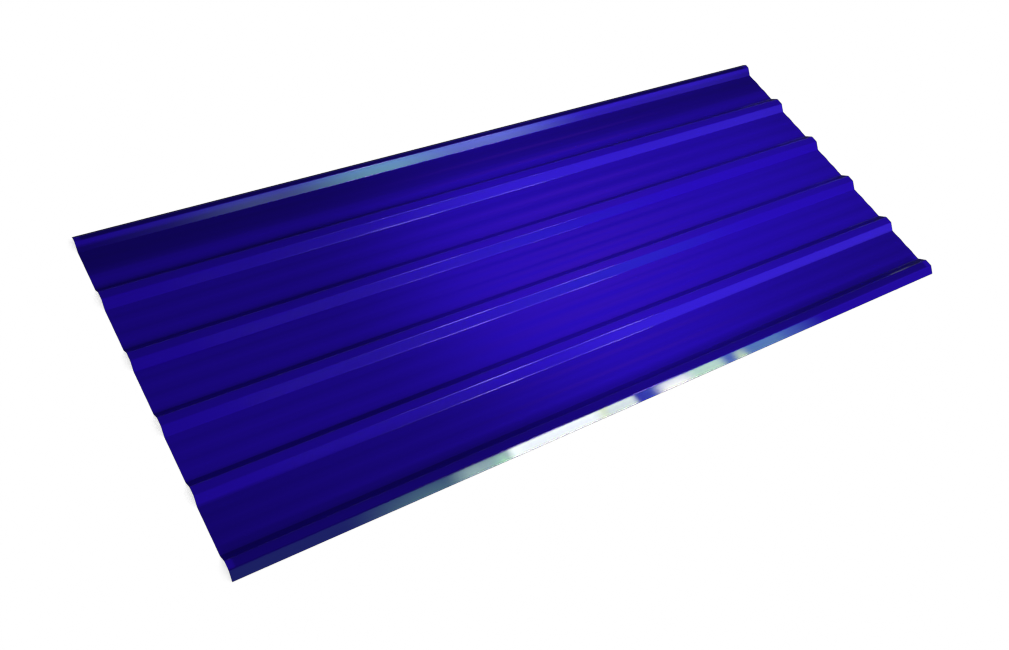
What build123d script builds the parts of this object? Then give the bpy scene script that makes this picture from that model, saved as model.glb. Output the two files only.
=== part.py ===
from build123d import *
import math
import os

# Trapezoidal roofing sheet, roll-formed from one coil of pre-painted steel.
# Frame: +X along the ribs, +Y across them towards the under-lap side, +Z up.
# The origin is the middle of the middle pan, on its underside, which is what the sheet lies on.
# All sizes are in millimetres. Section sizes are taken on the upper face, between sharp corners.

# Blank
sheet_length = 2440.0
steel_thickness = 0.5
bend_radius = 3.0

# Ribs
rib_count = 6
rib_pitch = 200.0
rib_height = 20.0
crown_width = 25.0
flank_run = 22.5

# Shallow stiffeners that keep each pan flat
stiffener_count = 2
stiffener_height = 1.2
stiffener_top_width = 14.0
stiffener_slope_run = 10.0
stiffener_gap = 16.0

# Side laps
# The under-lap edge stops short of a full rib and goes beneath the neighbour's full lap rib.
under_lap_crown_width = 14.0
under_lap_leg_drop = 8.0
over_lap_edge_lift = 1.5

# Share of each stiffener slope that its two bends take up
slope_share_in_bends = 0.9

rib_base_width = crown_width + 2 * flank_run
stiffener_width = stiffener_top_width + 2 * stiffener_slope_run
stiffener_pitch = stiffener_width + stiffener_gap
flank_slope = rib_height / flank_run

# Radii on the upper face: a root bend is hollow from above, a crown bend is round from above.
root_radius = bend_radius
crown_radius = bend_radius + steel_thickness
slope_length = math.hypot(stiffener_slope_run, stiffener_height)
slope_angle = math.atan2(stiffener_height, stiffener_slope_run)
stiffener_radius = slope_share_in_bends * slope_length / 2 / math.tan(slope_angle / 2)

pan_level = steel_thickness
crown_level = pan_level + rib_height


def rib_centre(index):
    """Place of a rib across the sheet, counted from the under-lap side."""
    return ((rib_count - 1) / 2 - index) * rib_pitch


def rib_corners(centre):
    """Far root, far crown, near crown and near root of a full rib, with their bend radii."""
    half_base = rib_base_width / 2
    half_crown = crown_width / 2
    return [
        (centre + half_base, pan_level, root_radius),
        (centre + half_crown, crown_level, crown_radius),
        (centre - half_crown, crown_level, crown_radius),
        (centre - half_base, pan_level, root_radius),
    ]


def stiffener_corners(centre):
    """The four soft bends of one shallow stiffener."""
    half_width = stiffener_width / 2
    half_top = stiffener_top_width / 2
    top_level = pan_level + stiffener_height
    return [
        (centre + half_width, pan_level, stiffener_radius),
        (centre + half_top, top_level, stiffener_radius),
        (centre - half_top, top_level, stiffener_radius),
        (centre - half_width, pan_level, stiffener_radius),
    ]


def pan_corners(centre):
    """All the stiffener bends of one pan, from its far side to its near side."""
    corners = []
    for number in range(stiffener_count):
        offset_from_middle = ((stiffener_count - 1) / 2 - number) * stiffener_pitch
        corners += stiffener_corners(centre + offset_from_middle)
    return corners


def under_lap_corners(centre):
    """The narrow first rib: a free leg, part of a crown and the near flank."""
    near_corners = rib_corners(centre)[2:]
    crown_end = centre - crown_width / 2 + under_lap_crown_width
    leg_end = crown_end + under_lap_leg_drop / flank_slope
    return [
        (leg_end, crown_level - under_lap_leg_drop, 0),
        (crown_end, crown_level, crown_radius),
    ] + near_corners


def over_lap_corners(centre):
    """The last rib: full, but its near flank ends free, just above the next sheet's pan."""
    edge_end = centre - rib_base_width / 2 + over_lap_edge_lift / flank_slope
    return rib_corners(centre)[:3] + [(edge_end, pan_level + over_lap_edge_lift, 0)]


def section_corners():
    """Every corner of the sheet's upper face, from the under-lap edge to the over-lap edge."""
    corners = under_lap_corners(rib_centre(0))
    for index in range(1, rib_count):
        corners += pan_corners(rib_centre(index) + rib_pitch / 2)
        is_last = index == rib_count - 1
        corners += over_lap_corners(rib_centre(index)) if is_last else rib_corners(rib_centre(index))
    return corners


def sheet_section():
    """The bent strip as a closed face in the YZ plane."""
    corners = section_corners()
    points = [(y, z) for y, z, _ in corners]
    radii = [radius for _, _, radius in corners[1:-1]]
    with BuildSketch(Plane.YZ) as section:
        with BuildLine():
            FilletPolyline(*points, radius=radii)
            offset(amount=steel_thickness, side=Side.LEFT)
        make_face()
    return section.sketch


roof_sheet = extrude(sheet_section(), amount=sheet_length / 2, both=True)
roof_sheet.label = "roof_sheet"

os.makedirs("parts", exist_ok=True)
export_step(roof_sheet, "parts/roof_sheet.step")
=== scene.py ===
"""A trapezoidal roofing sheet, roll-formed from pre-painted steel, lying flat in a white studio.

Everything is in metres, in the frame of the CAD model: +X along the ribs, +Y across them towards
the under-lap side and +Z up. The origin is the middle of the middle pan, on its underside.
"""

import logging
import math
from dataclasses import dataclass, replace
from enum import Enum

import bmesh
import bpy
from mathutils import Matrix, Vector, noise


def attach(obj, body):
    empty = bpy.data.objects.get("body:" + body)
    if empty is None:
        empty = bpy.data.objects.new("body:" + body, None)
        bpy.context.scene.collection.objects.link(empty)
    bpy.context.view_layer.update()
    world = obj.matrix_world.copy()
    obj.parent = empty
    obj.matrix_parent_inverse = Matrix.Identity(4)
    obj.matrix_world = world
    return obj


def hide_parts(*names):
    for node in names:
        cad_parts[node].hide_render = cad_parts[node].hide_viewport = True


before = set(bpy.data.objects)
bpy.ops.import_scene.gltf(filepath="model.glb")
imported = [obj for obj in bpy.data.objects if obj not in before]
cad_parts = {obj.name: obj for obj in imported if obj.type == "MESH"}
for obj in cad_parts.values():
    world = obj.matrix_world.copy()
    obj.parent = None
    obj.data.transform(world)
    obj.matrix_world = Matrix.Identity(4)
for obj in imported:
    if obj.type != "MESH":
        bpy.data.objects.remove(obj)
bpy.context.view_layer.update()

log = logging.getLogger("roofing_sheet")

MILLIMETRE = 0.001
DOWN = (0.0, 0.0, -1.0)
TOWARDS_FAR_SIDE = (0.0, 1.0, 0.0)

# The sRGB curve: a straight foot, and above its end a power of the shifted value.
SRGB_FOOT_END = 0.04045
SRGB_FOOT_SLOPE = 12.92
SRGB_SHIFT = 0.055
SRGB_POWER = 2.4

# The output of a Mix node that carries a colour. Its two colours go in as in_6 and in_7.
MIXED_COLOUR = 2


def linear_colour(hex_colour: str) -> tuple[float, float, float, float]:
    """Turn an sRGB hex colour into the linear colour that shaders take.

    Args:
        hex_colour: Six hex digits, with or without a leading #.

    Returns:
        Red, green, blue and an alpha of 1, all linear.
    """
    digits = hex_colour.lstrip("#")
    channels = []
    for start in (0, 2, 4):
        value = int(digits[start : start + 2], 16) / 255
        foot = value / SRGB_FOOT_SLOPE
        curve = ((value + SRGB_SHIFT) / (1 + SRGB_SHIFT)) ** SRGB_POWER
        channels.append(foot if value <= SRGB_FOOT_END else curve)
    return (channels[0], channels[1], channels[2], 1.0)


def add_node(
    tree: bpy.types.NodeTree, kind: str, settings: dict | None = None, **inputs: object
) -> bpy.types.Node:
    """Add one node, set its properties and fill or link its inputs.

    Args:
        tree: The node tree that gets the node.
        kind: The node's type name, such as ShaderNodeBump.
        settings: Properties of the node itself, by name.
        **inputs: Values or output sockets, by input name with _ for a space, or by number as in_0.

    Returns:
        The new node.
    """
    node = tree.nodes.new(kind)
    for name, value in (settings or {}).items():
        setattr(node, name, value)
    for name, value in inputs.items():
        key = int(name[3:]) if name.startswith("in_") else name.replace("_", " ")
        socket = node.inputs[key]
        if isinstance(value, bpy.types.NodeSocket):
            tree.links.new(value, socket)
        else:
            socket.default_value = value
    return node


def new_material(name: str) -> tuple[bpy.types.Material, bpy.types.NodeTree]:
    """Make an empty node material.

    Args:
        name: The finish's name.

    Returns:
        The material and its node tree.
    """
    material = bpy.data.materials.new(name)
    material.use_nodes = True
    material.node_tree.nodes.clear()
    return material, material.node_tree


def seat_mesh(name: str, shape: bmesh.types.BMesh) -> bpy.types.Object:
    """Turn a bmesh into an object at the origin, linked to the scene.

    Args:
        name: Name of the object and of its mesh.
        shape: The finished bmesh, which is freed.

    Returns:
        The new object.
    """
    mesh = bpy.data.meshes.new(name)
    shape.to_mesh(mesh)
    shape.free()
    piece = bpy.data.objects.new(name, mesh)
    bpy.context.scene.collection.objects.link(piece)
    return piece


def seat_panel(name: str, width: float, depth: float) -> bpy.types.Object:
    """Make a flat rectangle at the origin, facing up.

    Args:
        name: Name of the object and of its mesh.
        width: Its size along x.
        depth: Its size along y.

    Returns:
        The new object.
    """
    shape = bmesh.new()
    bmesh.ops.create_grid(shape, x_segments=1, y_segments=1, size=0.5)
    bmesh.ops.scale(shape, verts=shape.verts[:], vec=(width, depth, 1))
    return seat_mesh(name, shape)


def pose_towards(place: tuple[float, float, float], way: Vector) -> Matrix:
    """Work out the matrix of a lamp or a card whose own z axis points a given way.

    Args:
        place: Where it stands.
        way: The direction of its own z axis. Its own x axis keeps as near +X as it can.

    Returns:
        The matrix that places and turns it.
    """
    out = way.normalized()
    side = (Vector((1, 0, 0)) - out * out.x).normalized()
    turn = Matrix((side, out.cross(side), out)).transposed()
    return Matrix.Translation(place) @ turn.to_4x4()


class Face(Enum):
    """The three finishes of the sheet, in the order of its material slots."""

    TOP_COAT = 0
    BACKER_COAT = 1
    CUT_EDGE = 2


class Bend(Enum):
    """What a corner of the section is, seen from above."""

    FREE_EDGE = "free edge"
    ROOT = "hollow bend where a flank meets a pan"
    CROWN = "round bend where a flank meets a crown"
    STIFFENER = "soft bend of a pan stiffener"


@dataclass(frozen=True)
class PolyesterTopCoat:
    """Coil-coated polyester on galvanised steel, full gloss, ultramarine.

    The eye gets a deep, even blue under a clear hard gloss: a paint film of about 25 microns that
    follows the rolled steel, so long reflections show faint lines along the sheet.
    """

    colour: str = "#2609B2"
    streak_colour: str = "#220AA6"
    roughness: float = 0.06
    roughness_spread: float = 0.03
    # A polyester film refracts like most paint resins.
    ior: float = 1.5
    # Roll-forming lines: about 6 mm apart across the sheet, which is coarse, and 500 mm long.
    line_spacing: float = 6 * MILLIMETRE
    line_length: float = 500 * MILLIMETRE
    line_depth: float = 0.004 * MILLIMETRE
    # Their noise: how many finer layers it has, how strong those are and the values it keeps to.
    line_layers: float = 3.0
    line_fineness: float = 0.6
    line_lowest: float = 0.3
    line_highest: float = 0.7
    # Orange peel of a coil coat: cells of about 3 mm, a few microns high.
    peel_cell: float = 3 * MILLIMETRE
    peel_height: float = 0.003 * MILLIMETRE
    peel_layers: float = 1.0
    peel_fineness: float = 0.4

    def build(self) -> bpy.types.Material:
        """Build the paint, with the rolled lines and the orange peel in its bump.

        Returns:
            The material.
        """
        material, tree = new_material("polyester_coated_galvanised_steel")
        place = add_node(tree, "ShaderNodeTexCoord").outputs["Object"]
        along, across = 1 / self.line_length, 1 / self.line_spacing
        drawn_out = add_node(tree, "ShaderNodeMapping", Vector=place, Scale=(along, across, across))
        lines = add_node(
            tree,
            "ShaderNodeTexNoise",
            Vector=drawn_out.outputs["Vector"],
            Scale=1.0,
            Detail=self.line_layers,
            Roughness=self.line_fineness,
        )
        peel = add_node(
            tree,
            "ShaderNodeTexNoise",
            Vector=place,
            Scale=1 / self.peel_cell,
            Detail=self.peel_layers,
            Roughness=self.peel_fineness,
        )
        tint = add_node(
            tree,
            "ShaderNodeMix",
            {"data_type": "RGBA"},
            Factor=lines.outputs["Fac"],
            in_6=linear_colour(self.colour),
            in_7=linear_colour(self.streak_colour),
        )
        gloss = add_node(
            tree,
            "ShaderNodeMapRange",
            Value=lines.outputs["Fac"],
            From_Min=self.line_lowest,
            From_Max=self.line_highest,
            To_Min=self.roughness,
            To_Max=self.roughness + self.roughness_spread,
        )
        rolled = add_node(
            tree,
            "ShaderNodeBump",
            Height=lines.outputs["Fac"],
            Distance=self.line_depth,
            Strength=1.0,
        )
        peeled = add_node(
            tree,
            "ShaderNodeBump",
            Height=peel.outputs["Fac"],
            Distance=self.peel_height,
            Strength=1.0,
            Normal=rolled.outputs["Normal"],
        )
        paint = add_node(
            tree,
            "ShaderNodeBsdfPrincipled",
            Base_Color=tint.outputs[MIXED_COLOUR],
            Roughness=gloss.outputs["Result"],
            IOR=self.ior,
            Normal=peeled.outputs["Normal"],
        )
        add_node(tree, "ShaderNodeOutputMaterial", Surface=paint.outputs["BSDF"])
        return material


@dataclass(frozen=True)
class BackerCoat:
    """Thin epoxy backer coat on the underside, pale grey and semi-matt.

    The eye gets a plain light grey with a slight roller texture and no clear reflection.
    """

    colour: str = "#B9BCBD"
    shade: str = "#AEB1B3"
    roughness: float = 0.5
    ior: float = 1.5
    # Roller texture: about 4 mm across the sheet and fifty times that along it.
    cell: float = 4 * MILLIMETRE
    height: float = 0.004 * MILLIMETRE
    drawn_out: float = 50.0
    layers: float = 2.0

    def build(self) -> bpy.types.Material:
        """Build the backer coat, with its roller texture in tint and bump.

        Returns:
            The material.
        """
        material, tree = new_material("epoxy_backer_coat_on_galvanised_steel")
        place = add_node(tree, "ShaderNodeTexCoord").outputs["Object"]
        rolled = add_node(
            tree, "ShaderNodeMapping", Vector=place, Scale=(1 / self.drawn_out, 1.0, 1.0)
        )
        texture = add_node(
            tree,
            "ShaderNodeTexNoise",
            Vector=rolled.outputs["Vector"],
            Scale=1 / self.cell,
            Detail=self.layers,
        )
        tint = add_node(
            tree,
            "ShaderNodeMix",
            {"data_type": "RGBA"},
            Factor=texture.outputs["Fac"],
            in_6=linear_colour(self.colour),
            in_7=linear_colour(self.shade),
        )
        bump = add_node(
            tree, "ShaderNodeBump", Height=texture.outputs["Fac"], Distance=self.height
        )
        coat = add_node(
            tree,
            "ShaderNodeBsdfPrincipled",
            Base_Color=tint.outputs[MIXED_COLOUR],
            Roughness=self.roughness,
            IOR=self.ior,
            Normal=bump.outputs["Normal"],
        )
        add_node(tree, "ShaderNodeOutputMaterial", Surface=coat.outputs["BSDF"])
        return material


@dataclass(frozen=True)
class ShearedSteelEdge:
    """Edge left by the shear: bare steel between two zinc layers.

    The eye gets a thin dull-grey line with fine marks across the thickness.
    """

    colour: str = "#8A8F94"
    burnish: str = "#B4B8BB"
    roughness: float = 0.42
    # Shear marks: 0.8 mm apart along the edge and drawn out ten times through the thickness.
    mark_spacing: float = 0.8 * MILLIMETRE
    mark_stretch: float = 10.0
    mark_layers: float = 1.0

    def build(self) -> bpy.types.Material:
        """Build the bare edge, burnished in fine marks.

        Returns:
            The material.
        """
        material, tree = new_material("sheared_galvanised_steel_edge")
        place = add_node(tree, "ShaderNodeTexCoord").outputs["Object"]
        stretched = add_node(
            tree, "ShaderNodeMapping", Vector=place, Scale=(1.0, 1.0, 1 / self.mark_stretch)
        )
        marks = add_node(
            tree,
            "ShaderNodeTexNoise",
            Vector=stretched.outputs["Vector"],
            Scale=1 / self.mark_spacing,
            Detail=self.mark_layers,
        )
        tint = add_node(
            tree,
            "ShaderNodeMix",
            {"data_type": "RGBA"},
            Factor=marks.outputs["Fac"],
            in_6=linear_colour(self.colour),
            in_7=linear_colour(self.burnish),
        )
        steel = add_node(
            tree,
            "ShaderNodeBsdfPrincipled",
            Base_Color=tint.outputs[MIXED_COLOUR],
            Metallic=1.0,
            Roughness=self.roughness,
        )
        add_node(tree, "ShaderNodeOutputMaterial", Surface=steel.outputs["BSDF"])
        return material


@dataclass(frozen=True)
class Corner:
    """One sharp corner of the section's upper face, before it is bent to its radius."""

    across: float
    height: float
    bend: Bend


@dataclass
class RoofSheet:
    """The formed sheet: six ribs, five stiffened pans and two side laps, from one strip of steel."""

    length: float = 2440 * MILLIMETRE
    thickness: float = 0.5 * MILLIMETRE
    bend_radius: float = 3 * MILLIMETRE
    rib_count: int = 6
    rib_pitch: float = 200 * MILLIMETRE
    rib_height: float = 20 * MILLIMETRE
    crown_width: float = 25 * MILLIMETRE
    flank_run: float = 22.5 * MILLIMETRE
    stiffener_count: int = 2
    stiffener_height: float = 1.2 * MILLIMETRE
    stiffener_top_width: float = 14 * MILLIMETRE
    stiffener_slope_run: float = 10 * MILLIMETRE
    stiffener_gap: float = 16 * MILLIMETRE
    slope_share_in_bends: float = 0.9
    under_lap_crown_width: float = 14 * MILLIMETRE
    under_lap_leg_drop: float = 8 * MILLIMETRE
    over_lap_edge_lift: float = 1.5 * MILLIMETRE
    # Oil-canning: the flat strips of a thin sheet wander by a fraction of a millimetre.
    wander: float = 0.25 * MILLIMETRE
    wander_length: float = 260 * MILLIMETRE
    wander_width: float = 120 * MILLIMETRE
    cross_cuts: int = 79
    bend_segments: int = 5
    # An edge longer than this share of the sheet runs its whole length.
    lengthwise_share: float = 0.9
    # Two places are the same if they agree to this many decimals of a metre.
    same_place_decimals: int = 6
    # The bevel shape that follows a circle.
    round_profile: float = 0.5

    def rib_corners(self, centre: float) -> list[Corner]:
        """List the far root, far crown, near crown and near root of a full rib.

        Args:
            centre: The rib's place across the sheet.

        Returns:
            Its four corners.
        """
        half_base = self.crown_width / 2 + self.flank_run
        half_crown = self.crown_width / 2
        crown = self.thickness + self.rib_height
        return [
            Corner(centre + half_base, self.thickness, Bend.ROOT),
            Corner(centre + half_crown, crown, Bend.CROWN),
            Corner(centre - half_crown, crown, Bend.CROWN),
            Corner(centre - half_base, self.thickness, Bend.ROOT),
        ]

    def pan_corners(self, centre: float) -> list[Corner]:
        """List the soft bends of a pan's stiffeners, from its far side to its near side.

        Args:
            centre: The pan's place across the sheet.

        Returns:
            Four corners for each stiffener.
        """
        half_top = self.stiffener_top_width / 2
        half_width = half_top + self.stiffener_slope_run
        top = self.thickness + self.stiffener_height
        pitch = 2 * half_width + self.stiffener_gap
        corners = []
        for number in range(self.stiffener_count):
            middle = centre + ((self.stiffener_count - 1) / 2 - number) * pitch
            corners.append(Corner(middle + half_width, self.thickness, Bend.STIFFENER))
            corners.append(Corner(middle + half_top, top, Bend.STIFFENER))
            corners.append(Corner(middle - half_top, top, Bend.STIFFENER))
            corners.append(Corner(middle - half_width, self.thickness, Bend.STIFFENER))
        return corners

    def section(self) -> list[Corner]:
        """List every corner of the upper face, from the under-lap edge to the over-lap edge.

        Returns:
            The corners in order.
        """
        slope = self.rib_height / self.flank_run
        crown = self.thickness + self.rib_height
        first = (self.rib_count - 1) / 2 * self.rib_pitch
        crown_end = first - self.crown_width / 2 + self.under_lap_crown_width
        leg_end = crown_end + self.under_lap_leg_drop / slope
        corners = [
            Corner(leg_end, crown - self.under_lap_leg_drop, Bend.FREE_EDGE),
            Corner(crown_end, crown, Bend.CROWN),
        ]
        corners += self.rib_corners(first)[2:]
        for index in range(1, self.rib_count):
            centre = first - index * self.rib_pitch
            corners += self.pan_corners(centre + self.rib_pitch / 2)
            corners += self.rib_corners(centre)
        last = corners.pop()
        edge = last.across + self.over_lap_edge_lift / slope
        corners.append(Corner(edge, self.thickness + self.over_lap_edge_lift, Bend.FREE_EDGE))
        return corners

    def setback(self, bend: Bend) -> float:
        """Work out how far from its corner a bend begins.

        Args:
            bend: The kind of bend.

        Returns:
            Distance along the face from the corner to where the bend begins.
        """
        if bend is Bend.STIFFENER:
            slope = math.hypot(self.stiffener_slope_run, self.stiffener_height)
            return self.slope_share_in_bends * slope / 2
        radius = self.bend_radius + (self.thickness if bend is Bend.CROWN else 0.0)
        turn = math.atan2(self.rib_height, self.flank_run)
        return radius * math.tan(turn / 2)

    def form_skin(self) -> bmesh.types.BMesh:
        """Draw the section as a chain, run it along the sheet and round its bends.

        Returns:
            The upper face as an open shell, with its faces turned up.
        """
        corners = self.section()
        shape = bmesh.new()
        start = -self.length / 2
        chain = [shape.verts.new((start, corner.across, corner.height)) for corner in corners]
        edges = [shape.edges.new(pair) for pair in zip(chain, chain[1:])]
        run = bmesh.ops.extrude_edge_only(shape, edges=edges)
        moved = [part for part in run["geom"] if isinstance(part, bmesh.types.BMVert)]
        bmesh.ops.translate(shape, verts=moved, vec=(self.length, 0, 0))
        for bend in (Bend.ROOT, Bend.CROWN, Bend.STIFFENER):
            folds = self.fold_lines(shape, [corner for corner in corners if corner.bend is bend])
            bmesh.ops.bevel(
                shape,
                geom=folds,
                offset=self.setback(bend),
                offset_type="OFFSET",
                segments=self.bend_segments,
                profile=self.round_profile,
                affect="EDGES",
                material=-1,
                clamp_overlap=False,
            )
        shortest = self.lengthwise_share * self.length
        lengthwise = [edge for edge in shape.edges if edge.calc_length() > shortest]
        bmesh.ops.subdivide_edges(shape, edges=lengthwise, cuts=self.cross_cuts, use_grid_fill=True)
        if sum(face.normal.z for face in shape.faces) < 0:
            bmesh.ops.reverse_faces(shape, faces=shape.faces[:])
        return shape

    def fold_lines(self, shape: bmesh.types.BMesh, corners: list[Corner]) -> list[bmesh.types.BMEdge]:
        """Find the lengthwise edges that run along some corners of the section.

        Args:
            shape: The shell with its corners still sharp.
            corners: The corners to look for.

        Returns:
            One edge for each corner.
        """
        decimals = self.same_place_decimals
        wanted = {(round(spot.across, decimals), round(spot.height, decimals)) for spot in corners}
        found = []
        for edge in shape.edges:
            ends = [vert.co for vert in edge.verts]
            places = {(round(end.y, decimals), round(end.z, decimals)) for end in ends}
            if len(places) == 1 and places <= wanted:
                found.append(edge)
        return found

    def relax(self, shape: bmesh.types.BMesh) -> None:
        """Let the flat strips wander, upwards in the pans and downwards on the crowns.

        Args:
            shape: The shell, whose vertices move by less than the wander.
        """
        for vert in shape.verts:
            point = Vector((vert.co.x / self.wander_length, vert.co.y / self.wander_width, 0.0))
            # The noise runs from -1 to 1, and the swell from 0 to 1.
            swell = 0.5 + 0.5 * noise.noise(point)
            share = (vert.co.z - self.thickness) / self.rib_height
            vert.co.z += self.wander * swell * (1 - 2 * share)

    def build(self) -> bpy.types.Object:
        """Build the sheet as one closed mesh with its three finishes marked.

        Returns:
            The finished object.
        """
        shape = self.form_skin()
        self.relax(shape)
        upper = set(shape.verts)
        bmesh.ops.solidify(shape, geom=shape.faces[:], thickness=self.thickness)
        for face in shape.faces:
            face.smooth = True
            above = sum(vert in upper for vert in face.verts)
            side = Face.CUT_EDGE
            if above == len(face.verts):
                side = Face.TOP_COAT
            elif above == 0:
                side = Face.BACKER_COAT
            face.material_index = side.value
        for edge in shape.edges:
            sides = {face.material_index for face in edge.link_faces}
            edge.smooth = len(sides) == 1
        shape.normal_update()
        sheet = seat_mesh("coated_roof_sheet", shape)
        weighted = sheet.modifiers.new("flat_faces_lead", "WEIGHTED_NORMAL")
        weighted.mode = "FACE_AREA"
        weighted.keep_sharp = True
        return sheet

    def dress(self, sheet: bpy.types.Object) -> None:
        """Give the sheet its finishes, in the order of Face.

        Args:
            sheet: The object that build made.
        """
        for finish in (PolyesterTopCoat(), BackerCoat(), ShearedSteelEdge()):
            sheet.data.materials.append(finish.build())
        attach(sheet, "root")
        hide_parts("roof_sheet")


class Reach(Enum):
    """How a lamp spreads its light."""

    WIDE = "AREA"
    POOL = "SPOT"


@dataclass(frozen=True)
class Lamp:
    """A soft lamp for one object, which neither the camera nor a mirror image shows.

    A wide one is a rectangle of that width and depth. A pool is a round lamp of that width behind a
    cone, whose light fades from the middle of the cone to its edge.
    """

    name: str
    reach: Reach
    place: tuple[float, float, float]
    aim: tuple[float, float, float]
    width: float
    depth: float
    watts: float
    cone_degrees: float = 60.0

    def build(self, lit: bpy.types.Object, blockers: list[bpy.types.Object]) -> bpy.types.Object:
        """Build the lamp, turned from its place towards its aim.

        Args:
            lit: The only object that the lamp lights.
            blockers: The objects that throw shadows in its light.

        Returns:
            The lamp object.
        """
        light = bpy.data.lights.new(self.name, self.reach.value)
        light.energy = self.watts
        if self.reach is Reach.WIDE:
            light.shape = "RECTANGLE"
            light.size = self.width
            light.size_y = self.depth
        else:
            light.shadow_soft_size = self.width / 2
            light.spot_size = math.radians(self.cone_degrees)
            light.spot_blend = 1.0
        lamp = bpy.data.objects.new(self.name, light)
        bpy.context.scene.collection.objects.link(lamp)
        lamp.matrix_world = pose_towards(self.place, Vector(self.place) - Vector(self.aim))
        lamp.visible_camera = False
        lamp.visible_glossy = False
        lamp.light_linking.receiver_collection = bpy.data.collections.new(self.name + "_lights")
        lamp.light_linking.receiver_collection.objects.link(lit)
        lamp.light_linking.blocker_collection = bpy.data.collections.new(self.name + "_blockers")
        for blocker in blockers:
            lamp.light_linking.blocker_collection.objects.link(blocker)
        log.info("lamp %s", self.name)
        return lamp


@dataclass(frozen=True)
class MirroredCard:
    """A glowing card with soft edges, which only mirror images show.

    It glows over whatever stands behind it, so cards that overlap add up. Its own x runs along its
    width and its own y up its height.
    """

    name: str
    place: tuple[float, float, float]
    width: float
    height: float
    colour: str
    strength: float
    # Share of the card, from its edges inwards, over which the glow fades.
    soft_share: float
    facing: tuple[float, float, float] = TOWARDS_FAR_SIDE
    one_sided: bool = False

    def edge_fade(self, tree: bpy.types.NodeTree) -> bpy.types.NodeSocket:
        """Make the glow fade towards the card's four edges.

        Args:
            tree: The card's node tree.

        Returns:
            A value from 0 at the edges to 1 in the middle.
        """
        place = add_node(tree, "ShaderNodeTexCoord").outputs["Object"]
        size = add_node(tree, "ShaderNodeVectorMath", {"operation": "ABSOLUTE"}, in_0=place)
        parts = add_node(tree, "ShaderNodeSeparateXYZ", Vector=size.outputs["Vector"])
        fades = []
        for axis, extent in (("X", self.width), ("Y", self.height)):
            fade = add_node(
                tree,
                "ShaderNodeMapRange",
                {"interpolation_type": "SMOOTHSTEP"},
                Value=parts.outputs[axis],
                From_Min=extent / 2 * (1 - self.soft_share),
                From_Max=extent / 2,
                To_Min=1.0,
                To_Max=0.0,
            )
            fades.append(fade.outputs["Result"])
        both = add_node(
            tree, "ShaderNodeMath", {"operation": "MULTIPLY"}, in_0=fades[0], in_1=fades[1]
        )
        return both.outputs["Value"]

    def paint(self) -> bpy.types.Material:
        """Make the glow, which lets what stands behind it through.

        Returns:
            The card's material.
        """
        material, tree = new_material(self.name)
        level = add_node(
            tree,
            "ShaderNodeMath",
            {"operation": "MULTIPLY"},
            in_0=self.edge_fade(tree),
            in_1=self.strength,
        )
        if self.one_sided:
            behind = add_node(tree, "ShaderNodeNewGeometry").outputs["Backfacing"]
            front = add_node(tree, "ShaderNodeMath", {"operation": "SUBTRACT"}, in_0=1.0, in_1=behind)
            level = add_node(
                tree,
                "ShaderNodeMath",
                {"operation": "MULTIPLY"},
                in_0=level.outputs["Value"],
                in_1=front.outputs["Value"],
            )
        glow = add_node(
            tree,
            "ShaderNodeEmission",
            Color=linear_colour(self.colour),
            Strength=level.outputs["Value"],
        )
        clear = add_node(tree, "ShaderNodeBsdfTransparent")
        both = add_node(
            tree, "ShaderNodeAddShader", in_0=glow.outputs["Emission"], in_1=clear.outputs["BSDF"]
        )
        add_node(tree, "ShaderNodeOutputMaterial", Surface=both.outputs["Shader"])
        return material

    def build(self) -> bpy.types.Object:
        """Build the card, turned so that its face looks the way it faces.

        Returns:
            The card object.
        """
        card = seat_panel(self.name, self.width, self.height)
        card.matrix_world = pose_towards(self.place, Vector(self.facing))
        card.data.materials.append(self.paint())
        card.visible_camera = False
        card.visible_diffuse = False
        card.visible_transmission = False
        card.visible_shadow = False
        log.info("card %s", self.name)
        return card


class Holds(Enum):
    """What a scrim holds back."""

    LAMPS = "the lamps' light"
    MIRROR_IMAGES = "the cards' mirror images"


@dataclass(frozen=True)
class Scrim:
    """A net close above the sheet that lets part of the light through and is not seen itself.

    The share that passes may differ at its left end, its middle and its right end.
    """

    name: str
    place: tuple[float, float, float]
    width: float
    depth: float
    passed: tuple[float, float, float]
    holds: Holds = Holds.LAMPS

    def weave(self) -> bpy.types.Material:
        """Make the net, evenly graded from each end to its middle.

        Returns:
            The scrim's material.
        """
        material, tree = new_material(self.name)
        left, middle, right = self.passed
        place = add_node(tree, "ShaderNodeTexCoord").outputs["Object"]
        along = add_node(tree, "ShaderNodeSeparateXYZ", Vector=place).outputs["X"]
        to_middle = add_node(
            tree,
            "ShaderNodeMapRange",
            Value=along,
            From_Min=-self.width / 2,
            From_Max=0.0,
            To_Min=left,
            To_Max=middle,
        )
        to_right = add_node(
            tree,
            "ShaderNodeMapRange",
            Value=along,
            From_Min=0.0,
            From_Max=self.width / 2,
            To_Min=0.0,
            To_Max=right - middle,
        )
        share = add_node(
            tree,
            "ShaderNodeMath",
            {"operation": "ADD"},
            in_0=to_middle.outputs["Result"],
            in_1=to_right.outputs["Result"],
        )
        clear = add_node(tree, "ShaderNodeBsdfTransparent", Color=share.outputs["Value"])
        add_node(tree, "ShaderNodeOutputMaterial", Surface=clear.outputs["BSDF"])
        return material

    def build(self) -> bpy.types.Object:
        """Build the scrim, lying flat.

        Returns:
            The scrim object.
        """
        scrim = seat_panel(self.name, self.width, self.depth)
        scrim.location = self.place
        scrim.data.materials.append(self.weave())
        scrim.visible_camera = False
        scrim.visible_diffuse = False
        scrim.visible_glossy = self.holds is Holds.MIRROR_IMAGES
        scrim.visible_transmission = False
        log.info("scrim %s", self.name)
        return scrim


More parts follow.
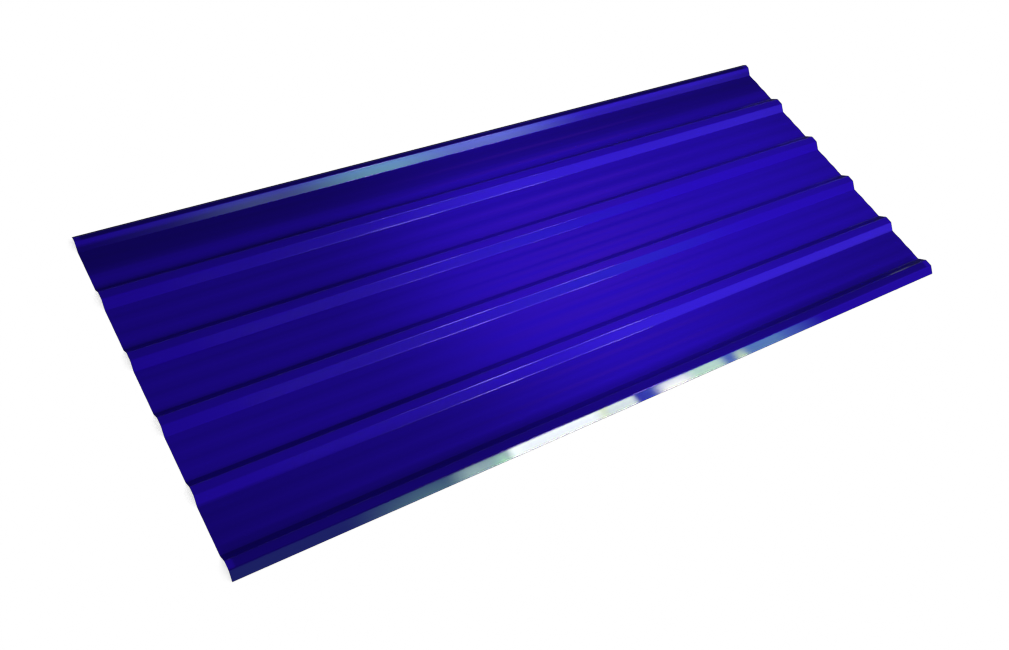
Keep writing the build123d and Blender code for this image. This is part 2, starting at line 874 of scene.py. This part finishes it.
@dataclass
class Studio:
    """White floor and surroundings, soft lamps, scrims and the cards that the gloss mirrors."""

    floor_reach: float = 30.0
    floor_colour: str = "#E9E9E9"
    floor_roughness: float = 0.9
    ambient: float = 0.12
    # Mirror images show white up to this height above or below the horizon, and then fade to dark.
    white_up_to: float = 0.03
    dark_from: float = 0.15
    dark_level: float = 0.02
    # The wall beyond the over-lap: where its first card stands, the step from card to card and the
    # height of their middles.
    wall_across: float = -0.85
    card_step: float = 2 * MILLIMETRE
    wall_level: float = 0.165
    # Scrims of single bends: how long they are and how high above the floor.
    bend_scrim_length: float = 2.5
    above_crown_bend: float = 23 * MILLIMETRE
    above_root_bend: float = 4 * MILLIMETRE

    def build_floor(self) -> bpy.types.Object:
        """Build the pale floor, which keeps the sheet's shadow and is clear from below.

        Returns:
            The floor object.
        """
        floor = seat_panel("floor", 2 * self.floor_reach, 2 * self.floor_reach)
        material, tree = new_material("matt_white_floor")
        paint = add_node(
            tree,
            "ShaderNodeBsdfPrincipled",
            Base_Color=linear_colour(self.floor_colour),
            Roughness=self.floor_roughness,
            Specular_IOR_Level=0.0,
        )
        clear = add_node(tree, "ShaderNodeBsdfTransparent")
        behind = add_node(tree, "ShaderNodeNewGeometry").outputs["Backfacing"]
        one_sided = add_node(
            tree,
            "ShaderNodeMixShader",
            in_0=behind,
            in_1=paint.outputs["BSDF"],
            in_2=clear.outputs["BSDF"],
        )
        add_node(tree, "ShaderNodeOutputMaterial", Surface=one_sided.outputs["Shader"])
        floor.data.materials.append(material)
        floor.is_shadow_catcher = True
        floor.visible_diffuse = False
        floor.visible_glossy = False
        return floor

    def build_surroundings(self) -> None:
        """Build the world: white to the camera, white at the horizon in the gloss, dim otherwise."""
        world = bpy.data.worlds.new("white_studio")
        world.use_nodes = True
        tree = world.node_tree
        tree.nodes.clear()
        white = linear_colour("#FFFFFF")
        path = add_node(tree, "ShaderNodeLightPath")
        direction = add_node(tree, "ShaderNodeTexCoord").outputs["Generated"]
        parts = add_node(tree, "ShaderNodeSeparateXYZ", Vector=direction)
        height = add_node(
            tree, "ShaderNodeMath", {"operation": "ABSOLUTE"}, in_0=parts.outputs["Z"]
        )
        fade = add_node(
            tree,
            "ShaderNodeMapRange",
            {"interpolation_type": "SMOOTHSTEP"},
            Value=height.outputs["Value"],
            From_Min=self.white_up_to,
            From_Max=self.dark_from,
            To_Min=1.0,
            To_Max=self.dark_level,
        )
        seen = add_node(tree, "ShaderNodeBackground", Color=white, Strength=1.0)
        mirrored = add_node(
            tree, "ShaderNodeBackground", Color=white, Strength=fade.outputs["Result"]
        )
        dim = add_node(tree, "ShaderNodeBackground", Color=white, Strength=self.ambient)
        either = add_node(
            tree,
            "ShaderNodeMath",
            {"operation": "MAXIMUM"},
            in_0=path.outputs["Is Glossy Ray"],
            in_1=path.outputs["Is Transmission Ray"],
        )
        inner = add_node(
            tree,
            "ShaderNodeMixShader",
            in_0=either.outputs["Value"],
            in_1=dim.outputs["Background"],
            in_2=mirrored.outputs["Background"],
        )
        outer = add_node(
            tree,
            "ShaderNodeMixShader",
            in_0=path.outputs["Is Camera Ray"],
            in_1=inner.outputs["Shader"],
            in_2=seen.outputs["Background"],
        )
        add_node(tree, "ShaderNodeOutputWorld", Surface=outer.outputs["Shader"])
        bpy.context.scene.world = world

    def build_lamp_scrims(self) -> list[bpy.types.Object]:
        """Build the scrims that hold the lamps back over both side laps and their pans.

        Returns:
            The scrims.
        """
        # Name, place, width, depth and the shares that pass at the left, in the middle and at the right.
        scrims = (
            Scrim("scrim_over_near_crown", (0.0, -0.495, 0.025), 2.4, 0.04, (0.48, 0.48, 0.48)),
            Scrim("scrim_over_near_flank_left", (-0.7, -0.54, 0.025), 1.1, 0.05, (0.3, 0.3, 0.3)),
            Scrim("scrim_over_near_flank_right", (0.55, -0.54, 0.025), 1.4, 0.05, (0.75, 0.75, 0.75)),
            Scrim("scrim_over_far_crown", (0.0, 0.5005, 0.025), 2.4, 0.039, (0.2, 0.2, 0.2)),
            Scrim("scrim_over_far_pan", (0.0, 0.4, 0.03), 2.46, 0.1, (0.3, 0.57, 0.51)),
            Scrim("scrim_over_near_pan", (0.0, -0.4, 0.01), 2.46, 0.125, (0.62, 0.93, 0.7)),
        )
        return [scrim.build() for scrim in scrims]

    def build_bend_scrims(self) -> None:
        """Build the scrims that weaken the bright lines along the near bends of three ribs."""
        crown, root = self.above_crown_bend, self.above_root_bend
        # Name, place across the sheet, height, depth and the share that passes.
        bends = (
            ("scrim_over_rib_2_crown_bend", 0.2862, crown, 0.0075, 0.35),
            ("scrim_over_rib_3_crown_bend", 0.0862, crown, 0.0075, 0.45),
            ("scrim_over_rib_3_root_bend", 0.0645, root, 0.006, 0.35),
            ("scrim_over_rib_4_crown_bend", -0.1138, crown, 0.0075, 0.8),
        )
        for name, across, height, depth, share in bends:
            place, passed = (0.0, across, height), (share, share, share)
            Scrim(name, place, self.bend_scrim_length, depth, passed, Holds.MIRROR_IMAGES).build()

    def build_lamps(self, sheet: bpy.types.Object, floor: bpy.types.Object) -> None:
        """Build the lamps of the sheet and the soft ones of the floor.

        Args:
            sheet: The sheet.
            floor: The floor, which takes a soft shadow of the sheet.
        """
        shades = [sheet, *self.build_lamp_scrims()]
        overhead = (0.0, 0.0, 3.0)
        below = (0.0, 0.0, -1.5)
        middle = (0.0, 0.0, 0.0)
        right_end = (0.92, 0.06, 0.0)
        pool, wide = Reach.POOL, Reach.WIDE
        # Name, reach, place, aim, width, depth, watts and the degrees of a pool's cone.
        lamps = (
            Lamp("key_overhead", pool, (-0.71, -0.44, 2.24), (0.12, 0.0, 0.0), 0.4, 0.4, 136.0, 36.4),
            Lamp("near_side_fill", wide, (1.08, -3.0, 2.37), (1.08, 0.0, 0.0), 2.4, 1.2, 131.0),
            Lamp("right_end_fill", pool, (1.3, 0.31, 1.2), right_end, 0.4, 0.4, 17.0, 38.5),
            Lamp("underside_fill", wide, below, middle, 2.4, 1.2, 18.0),
        )
        for lamp in lamps:
            lamp.build(sheet, shades)
        # The sheet shades only the first of the floor's two lamps, so its shadow stays faint.
        Lamp("floor_wash", wide, overhead, middle, 3.0, 3.0, 100.0).build(floor, [sheet])
        Lamp("floor_fill", wide, overhead, middle, 3.0, 3.0, 300.0).build(floor, [floor])

    def list_wall_cards(self) -> list[MirroredCard]:
        """List the cards of the wall beyond the over-lap, each a step behind the one before it.

        Returns:
            The cards.
        """
        # Name, place along the wall, width, height, colour, strength and soft share.
        rows = (
            ("bright_wall", -0.125, 0.37, 0.13, "#F8FFF0", 22.0, 0.2),
            ("wall_panel", 0.115, 0.17, 0.13, "#F0FFC6", 17.5, 0.3),
            ("wall_edge", -0.37, 0.3, 0.13, "#DCFFE0", 8.5, 0.7),
            ("dim_wall", -0.55, 0.6, 0.15, "#B1FFC8", 3.2, 1.0),
            ("dim_base", -0.9, 0.9, 0.15, "#B1FFC8", 0.35, 0.6),
            ("pale_base", 0.6, 0.94, 0.15, "#AAFFF3", 2.2, 0.5),
            ("first_pane", 0.358, 0.2, 0.13, "#FFFBC7", 20.0, 0.7),
            ("second_pane", 0.503, 0.2, 0.13, "#DDFF83", 12.5, 0.5),
            ("third_pane", 0.658, 0.09, 0.15, "#E9FF59", 14.0, 1.0),
            ("fourth_pane", 0.77, 0.25, 0.15, "#AAFF59", 1.6, 0.6),
            ("green_trim", -0.325, 0.08, 0.13, "#40FF80", 2.5, 0.8),
            ("pale_trim", -0.302, 0.08, 0.13, "#C5FFA2", 7.3, 1.0),
        )
        cards = []
        for number, (name, along, *glow) in enumerate(rows):
            across = self.wall_across - number * self.card_step
            cards.append(MirroredCard(name, (along, across, self.wall_level), *glow))
        return cards

    def build_cards(self) -> None:
        """Build the cards that the gloss shows: overhead, beyond the over-lap and over the pans."""
        lilac, blue = "#C4A4FF", "#5E4BFF"
        # Name, place, width, height, colour, strength, soft share and facing. Cards that overlap stand
        # in planes of their own, because two in one plane hide each other.
        cards = (
            MirroredCard("softbox_left", (0.65, -0.65, 2.0), 0.6, 0.7, lilac, 38.0, 0.8, DOWN),
            MirroredCard("softbox_right", (1.39, -0.65, 2.0), 0.5, 0.7, lilac, 32.5, 0.8, DOWN),
            MirroredCard("softbox_spill", (0.85, -0.65, 2.01), 2.1, 0.7, lilac, 10.5, 0.8, DOWN),
            MirroredCard("violet_ceiling", (1.94, 1.33, 2.4), 2.6, 1.6, "#FF6CBC", 0.22, 1.0, DOWN),
            *self.list_wall_cards(),
            MirroredCard("teal_wall", (0.85, -0.874, 0.64), 1.5, 0.6, "#30FFA0", 0.3, 1.0),
            MirroredCard("blue_wall_near", (1.2, -0.85, 0.33), 2.4, 0.2, blue, 2.6, 0.5),
        )
        over_the_pans = (
            MirroredCard("blue_wall_far", (0.9, 0.0, 0.264), 2.6, 0.14, blue, 2.7, 0.6),
            MirroredCard("blue_wall_lap", (1.05, 0.205, 0.3), 1.7, 0.24, blue, 2.6, 0.8),
            MirroredCard("green_wall", (-0.15, 0.2, 0.3), 0.74, 0.24, "#A0FFD3", 6.0, 1.0),
            MirroredCard("lavender_wall", (0.28, 0.21, 0.3), 0.95, 0.24, "#ADCEFF", 5.0, 1.0),
            MirroredCard("pale_wall", (-0.1, 0.19, 0.3), 2.2, 0.24, "#CBD9FF", 1.2, 1.0),
            MirroredCard("pale_wall_left", (-0.55, 0.185, 0.3), 0.7, 0.24, "#C0F0FF", 1.1, 1.0),
        )
        for card in cards:
            card.build()
        for card in over_the_pans:
            replace(card, one_sided=True).build()


@dataclass
class Viewpoint:
    """The camera of the photograph: above the near left corner, rolled with its right side up."""

    place: tuple[float, float, float] = (-1.6319, -1.3462, 2.2599)
    aim: tuple[float, float, float] = (-0.2661, -0.1635, 0.0)
    roll: float = math.radians(21.98)
    lens: float = 37.0
    film_width: float = 36.0

    def build(self) -> bpy.types.Object:
        """Build the camera and make it the scene's.

        Returns:
            The camera object.
        """
        data = bpy.data.cameras.new("viewpoint")
        data.sensor_width = self.film_width
        data.lens = self.lens
        camera = bpy.data.objects.new("viewpoint", data)
        bpy.context.scene.collection.objects.link(camera)
        forward = (Vector(self.aim) - Vector(self.place)).normalized()
        right = forward.cross(Vector((0, 0, 1))).normalized()
        right.rotate(Matrix.Rotation(-self.roll, 3, forward))
        up = right.cross(forward)
        turn = Matrix((right, up, -forward)).transposed()
        camera.matrix_world = Matrix.Translation(self.place) @ turn.to_4x4()
        bpy.context.scene.camera = camera
        log.info("camera right %s", [round(value, 4) for value in right])
        return camera


def main() -> None:
    """Build the sheet, the studio and the camera in order."""
    logging.basicConfig(level=logging.INFO, format="%(name)s: %(message)s")
    bpy.context.scene.view_settings.view_transform = "Standard"
    roofing = RoofSheet()
    sheet = roofing.build()
    roofing.dress(sheet)
    log.info("sheet with %d faces", len(sheet.data.polygons))
    studio = Studio()
    floor = studio.build_floor()
    studio.build_surroundings()
    studio.build_lamps(sheet, floor)
    studio.build_bend_scrims()
    studio.build_cards()
    Viewpoint().build()


if __name__ == "__main__":
    main()
